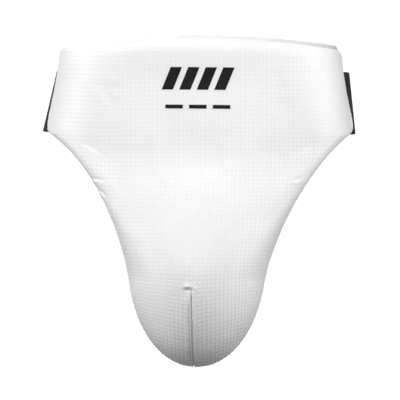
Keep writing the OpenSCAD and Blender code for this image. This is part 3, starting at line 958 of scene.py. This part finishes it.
def make_print():
    """Generic mark: four slanted stripes over three dashes, printed on the skin."""
    shapes = [(-29 + 14 * k, -20 + 14 * k, 222, 240, 0.4) for k in range(4)]
    shapes += [(19 * k - 7, 19 * k + 7, 207, 210, 0) for k in (-1, 0, 1)]
    points = []
    faces = []
    for x0, x1, h0, h1, slant in shapes:
        rows = max(4, int((h1 - h0) / 0.6))
        cols = int((x1 - x0) / 0.6)
        u, v = np.meshgrid(np.linspace(0, 1, cols), np.linspace(0, 1, rows))
        h = (h0 + (h1 - h0) * v) * K
        x = (x0 + (x1 - x0) * u) * K + slant * (h - h0 * K)
        base, normal = face_path(x, h, -1, 0.0)
        top = base + normal * (emboss(x, h) + 0.3 * MM)[..., None]
        more, quads = slab(top, base - normal * 0.1 * MM, len(points))
        points += list(more)
        faces += quads
    return closed_mesh("front_print", np.array(points), faces)


finish_piece(make_print(), "guard", "print_ink", INK, "printed_mark")


def make_label():
    """Blank ribbon label at the rear, sewn on at its upper edge, its lower end lifting a little."""
    def place(u, v):
        x = (-16 + 32 * u) * K
        h = (222 + 22 * v) * K
        points, normal = face_path(x, h, 1, 0.25 * MM)
        curl = (1 - v) ** 2 * 1.6 * MM * (0.7 + 0.3 * np.cos(3 * u))
        return points + normal * curl[..., None], normal
    return plate("blank_label", 17, 23, place, 0.35 * MM)


finish_piece(make_label(), "guard", "label_tape", LABEL, "care_label")


# -------- waistband halves and leg straps
def band_route(side, outer):
    """Middle line, width direction and outward normal of a band half, from the wing to its free end."""
    xs = np.linspace(84, 112, 9) * K
    sewn = []
    for edge, scale in ((-1, 1), (1, 1 - TAPER)):
        h = np.full_like(xs, BAND_MID - TIP + edge * BAND_W / 2)
        sewn.append(face_path(xs * scale, h, 1, 1.25 * MM)[0])
    turn = np.array([(116.5, -34.0), (119.5, -28), (121.5, -20.7)]) * K
    t = np.linspace(0, 1, 24)
    # the band doesn't hang evenly: it stands out a little on the left and is tucked in on the right
    hip = HIP_X - BAND_T / 2 + (3.0 if outer else -1.0) * MM
    taper = 0.092 if outer else 0.045
    side_curve = bez([(123.4 * K, -12 * K), (hip, -4 * K), (hip, 6 * K), (hip, 18 * K)], t)
    back = BACK_Y - BAND_T / 2
    back_curve = bez([(hip, 18 * K), (hip, 62 * K), (112 * K, back), (78 * K, back)], t)[1:]
    lift = LIFT if outer else 0.0
    ends = np.linspace(77, -36, 80) * K
    end_curve = np.stack([ends, back + lift * smooth((48 * K - ends) / (12 * K))], -1)
    plan = np.concatenate([turn, side_curve, back_curve, end_curve])
    low = np.column_stack([plan, np.full(len(plan), BAND_MID - BAND_W / 2)])
    lean = TAPER + (taper - TAPER) * smooth((plan[:, 1] + 20 * K) / (30 * K))
    high = low * [1, 1, 0] + [0, 0, BAND_MID + BAND_W / 2]
    high[:, 0] *= 1 - lean
    both = np.concatenate([np.concatenate([sewn[0], low]), np.concatenate([sewn[1], high])], 1)
    both = spread(both, 1.4 * MM)
    soften(both, 3)
    low, high = both[:, :3], both[:, 3:]
    middle = (low + high) / 2
    across = unit(high - low)
    out = unit(np.cross(np.gradient(middle, axis=0), across))
    flip = np.array([side, 1, 1])
    return middle * flip, across * flip, out * flip, np.linalg.norm(high - low, axis=1)


def add_band(name, side, outer, nodes):
    """One half of the waistband, ribbed along its length."""
    middle, across, out, width = band_route(side, outer)
    band = strip(name, middle, across, out * side, width, BAND_T * 0.9, ribs=20)
    finish_piece(band, None, "black_webbing", ELASTIC, *nodes)
    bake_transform(band)


add_band("elastic_band_left", -1, True, ("waistband_left", "band_anchor_left"))
add_band("elastic_band_right", 1, False, ("waistband_right", "band_anchor_right"))


def make_anchor_thread(name, side):
    """Box with a cross that sews the elastic to the wing."""
    def place(x, h):
        scale = 1 - TAPER * (h / K - 188) / 50
        return face_path(side * x * scale, h, 1, 2.25 * MM)
    box = box_corners(88 * K, 106 * K, 193 * K, 233 * K)
    runs = [seam(corners, place) for corners in (box, box[0:3:2], box[3:0:-2])]
    return threads(name, runs, 3.2 * MM, 0.3 * MM)


for side, word in ((-1, "left"), (1, "right")):
    finish_piece(make_anchor_thread(f"anchor_thread_{word}", side), "guard", "grey_thread", GREY_THREAD,
                 f"anchor_stitching_{word}")


def node_plate(name, node):
    """A closure patch in the space of its CAD node, with soft rounded edges."""
    low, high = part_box(node)
    crown = 0.1 * MM

    def place(u, v):
        points = np.stack([low[0] + (high[0] - low[0]) * u, 0 * u + low[1],
                           low[2] + (high[2] - low[2]) * v], -1)
        return points, np.broadcast_to([0.0, 1.0, 0.0], points.shape)
    return plate(name, 23, 31, place, high[1] - low[1] - crown, crown)


finish_piece(node_plate("loop_tape_patch", "loop_patch"), "band_right", "loop_tape", LOOPS, "loop_patch")
finish_piece(node_plate("hook_tape_patch", "hook_patch"), "band_left", "hook_tape", HOOKS, "hook_patch")


def make_patch_thread(name, node, y, face):
    """Stitches round a closure patch on the band's far face."""
    low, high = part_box(node)
    edge = 2 * MM

    def place(x, z):
        points = np.stack([x, np.full_like(x, y), z], -1)
        return points, np.broadcast_to([0.0, face, 0.0], points.shape)
    box = box_corners(low[0] + edge, high[0] - edge, low[2] + edge, high[2] - edge)
    return threads(name, [seam(box, place)], 3.0 * MM, 0.28 * MM)


finish_piece(make_patch_thread("loop_patch_thread", "loop_patch", BACK_Y - BAND_T - 0.05 * MM, -1.0),
             "band_right", "black_thread", BLACK_THREAD, "loop_stitching")
finish_piece(make_patch_thread("hook_patch_thread", "hook_patch", BACK_Y + LIFT + 0.05 * MM, 1.0),
             "band_left", "black_thread", BLACK_THREAD, "hook_stitching")

STRAP_T = 2 * MM
strap_low, strap_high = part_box("leg_strap_upper_right")
STRAP_X = (strap_low[0] + strap_high[0]) / 2
STRAP_W = strap_high[0] - strap_low[0]


def add_leg_strap(name, side, nodes):
    """A leg strap from the panel's tip to the inside of the waistband."""
    back = BACK_Y - BAND_T
    route = bez([(9.5 * K, -77.8 * K, 15.6 * K), (8 * K, -58 * K, -12 * K),
                 (28 * K, back + 7 * MM, 40 * K), (STRAP_X, back - 1 * MM, 160 * K)], np.linspace(0, 1, 80))
    top = np.array([(STRAP_X, back - 1 * MM, h * K) for h in np.linspace(161, 200, 12)])
    middle = spread(np.concatenate([route, top]), 1.6 * MM)
    soften(middle, 4)
    middle[:, 2] += TIP
    share = np.linspace(0, 1, len(middle))
    across = unit(np.stack([np.ones_like(share), 0.3 * smooth(1 - 5 * share), 0 * share], -1))
    out = unit(np.cross(across, np.gradient(middle, axis=0)))
    width = np.minimum(STRAP_W, (17 + 12 * share) * MM)
    flip = np.array([side, 1, 1])
    strap = strip(name, middle * flip, across, out * flip, width, STRAP_T * 0.85, ribs=10)
    finish_piece(strap, None, "black_webbing", ELASTIC, *nodes)
    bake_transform(strap)


def make_bar_tack(name, node):
    """Dense zigzag that fastens a leg strap to the waistband."""
    low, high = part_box(node)
    x = np.linspace(low[0], high[0], 45)
    y = np.full_like(x, low[1] + 0.2 * MM)
    normals = np.tile([0.0, -1.0, 0.0], (len(x), 1))
    runs = []
    for z in (low[2], high[2] - 2 * MM):
        zigzag = z + np.arange(len(x)) % 2 * 2 * MM
        runs.append((np.stack([x, y, zigzag], -1), normals))
    return threads(name, runs, 1.1 * MM, 0.26 * MM)


for side, word in ((-1, "left"), (1, "right")):
    body = f"band_{word}"
    tack = f"strap_bartack_{word}"
    add_leg_strap(f"leg_strap_{word}", side, (f"leg_strap_lower_{word}", f"leg_strap_upper_{word}"))
    finish_piece(make_bar_tack(f"strap_tack_{word}", tack), body, "black_thread", GREY_THREAD, tack)


def make_strap_patch():
    """Webbing patch that covers the lower ends of the leg straps."""
    def place(u, v):
        return face_path((-17 + 34 * u) * K, (16 + 17 * v) * K, 1, 0.2 * MM)
    return plate("strap_end_patch", 15, 29, place, 1.1 * MM)


def make_patch_seam():
    """Box of stitches on the strap patch."""
    def place(x, h):
        return face_path(x, h, 1, 1.35 * MM)
    box = box_corners(-15 * K, 15 * K, 19 * K, 31 * K)
    return threads("strap_patch_thread", [seam(box, place)], 2.8 * MM, 0.3 * MM)


finish_piece(make_strap_patch(), "guard", "black_webbing", ELASTIC, "strap_patch")
finish_piece(make_patch_seam(), "guard", "grey_thread", GREY_THREAD, "strap_patch_stitching")


# -------- stage, light and camera
FLOOR_Z = TIP - 0.8
FLOOR_R = 13  # wide enough for a camera on any side
BEND_R = 0.9
WALL_H = 9
SENSOR = 36  # the camera's sensor width, in millimetres
MIDDLE = (0, -0.05, TIP + 0.13)
WAIST = (0, -0.05, TIP + 0.19)
UPPER_EDGE = (0, -0.05, TIP + 0.27)


def add_stage():
    """A round pale floor that curves up into a glowing wall on all sides, like a photo tent."""
    turn = np.linspace(0.1, np.pi / 2, 12)
    flat = np.linspace(0.2, FLOOR_R, 24)
    wall = np.linspace(1.5, WALL_H, 5)
    radius = np.concatenate([flat, FLOOR_R + BEND_R * np.sin(turn), np.full(len(wall), FLOOR_R + BEND_R)])
    height = np.concatenate([0 * flat, BEND_R * (1 - np.cos(turn)), wall])
    angle = np.linspace(0, 2 * np.pi, 96, endpoint=False)
    points = [(0, 0, FLOOR_Z)]
    for r, h in zip(radius, height):
        points += [(r * math.cos(a), r * math.sin(a), FLOOR_Z + h) for a in angle]
    faces = grid_faces(len(radius), len(angle), wrap=True, first=1).tolist()
    faces += [[0, 1 + (i + 1) % len(angle), 1 + i] for i in range(len(angle))]
    floor = new_mesh("studio_floor", points, faces)
    s = Shader("studio_paper")
    color = s.grey(s.noise(3, 2), 0.60, 0.63)
    place = s.node("ShaderNodeSeparateXYZ", Vector=s.coords())
    above = s.maths("SUBTRACT", place.outputs["Z"], FLOOR_Z)
    glow = s.ramp(above, [(0.02, (0.36,) * 3), (0.25, (1,) * 3)])
    floor.data.materials.append(s.finish(color, 0.9, Emission_Color=glow, Emission_Strength=0.98))
    # the tent's glow is seen but doesn't light the object, which the lamps do
    floor.visible_diffuse = False
    floor.visible_glossy = False


def add_area(name, place, aim, size, power, beam):
    """A soft rectangular lamp. beam is its full angle in degrees."""
    lamp = bpy.data.lights.new(name, "AREA")
    lamp.shape = "RECTANGLE"
    lamp.size, lamp.size_y = size
    lamp.energy = power
    lamp.spread = math.radians(beam)
    obj = bpy.data.objects.new(name, lamp)
    bpy.context.scene.collection.objects.link(obj)
    obj.location = place
    obj.rotation_euler = (Vector(aim) - Vector(place)).to_track_quat("-Z", "Y").to_euler()


def add_camera(distance, field, azimuth, roll):
    """The camera: level, far off and a touch to the right. field is the width seen at its target."""
    camera = bpy.data.cameras.new("camera")
    target = np.array([2.1 * MM, -0.07, TIP + 133.6 * K])
    turn = math.radians(azimuth)
    camera.sensor_width = SENSOR
    camera.lens = SENSOR * distance / field
    camera.clip_end = 30
    obj = bpy.data.objects.new("camera", camera)
    obj.location = target + distance * np.array([math.sin(turn), -math.cos(turn), 0])
    obj.rotation_euler = (math.pi / 2, math.radians(roll), turn)
    bpy.context.scene.collection.objects.link(obj)
    bpy.context.scene.camera = obj


add_stage()
add_area("key", (-0.15, -2.15, 0.97), WAIST, (1.4, 1.0), 2.15, 40)
add_area("waist_fill", (0.1, -2.3, 0.0), UPPER_EDGE, (1.2, 0.25), 0.23, 11)
for place in (-2.0, 2.0):
    add_area("side_fill", (place, -0.55, 0.7), WAIST, (1.0, 1.0), 1.9, 40)
add_area("back_fill", (-0.8, 1.5, 1.3), MIDDLE, (1.2, 1.0), 6.0, 90)
world = bpy.data.worlds.new("studio")
world.use_nodes = True
background = world.node_tree.nodes["Background"]
background.inputs["Color"].default_value = (1, 1, 1, 1)
background.inputs["Strength"].default_value = 0.22
bpy.context.scene.world = world
bpy.context.scene.view_settings.view_transform = "Standard"
add_camera(distance=6.0, field=0.32, azimuth=2.0, roll=-0.5)
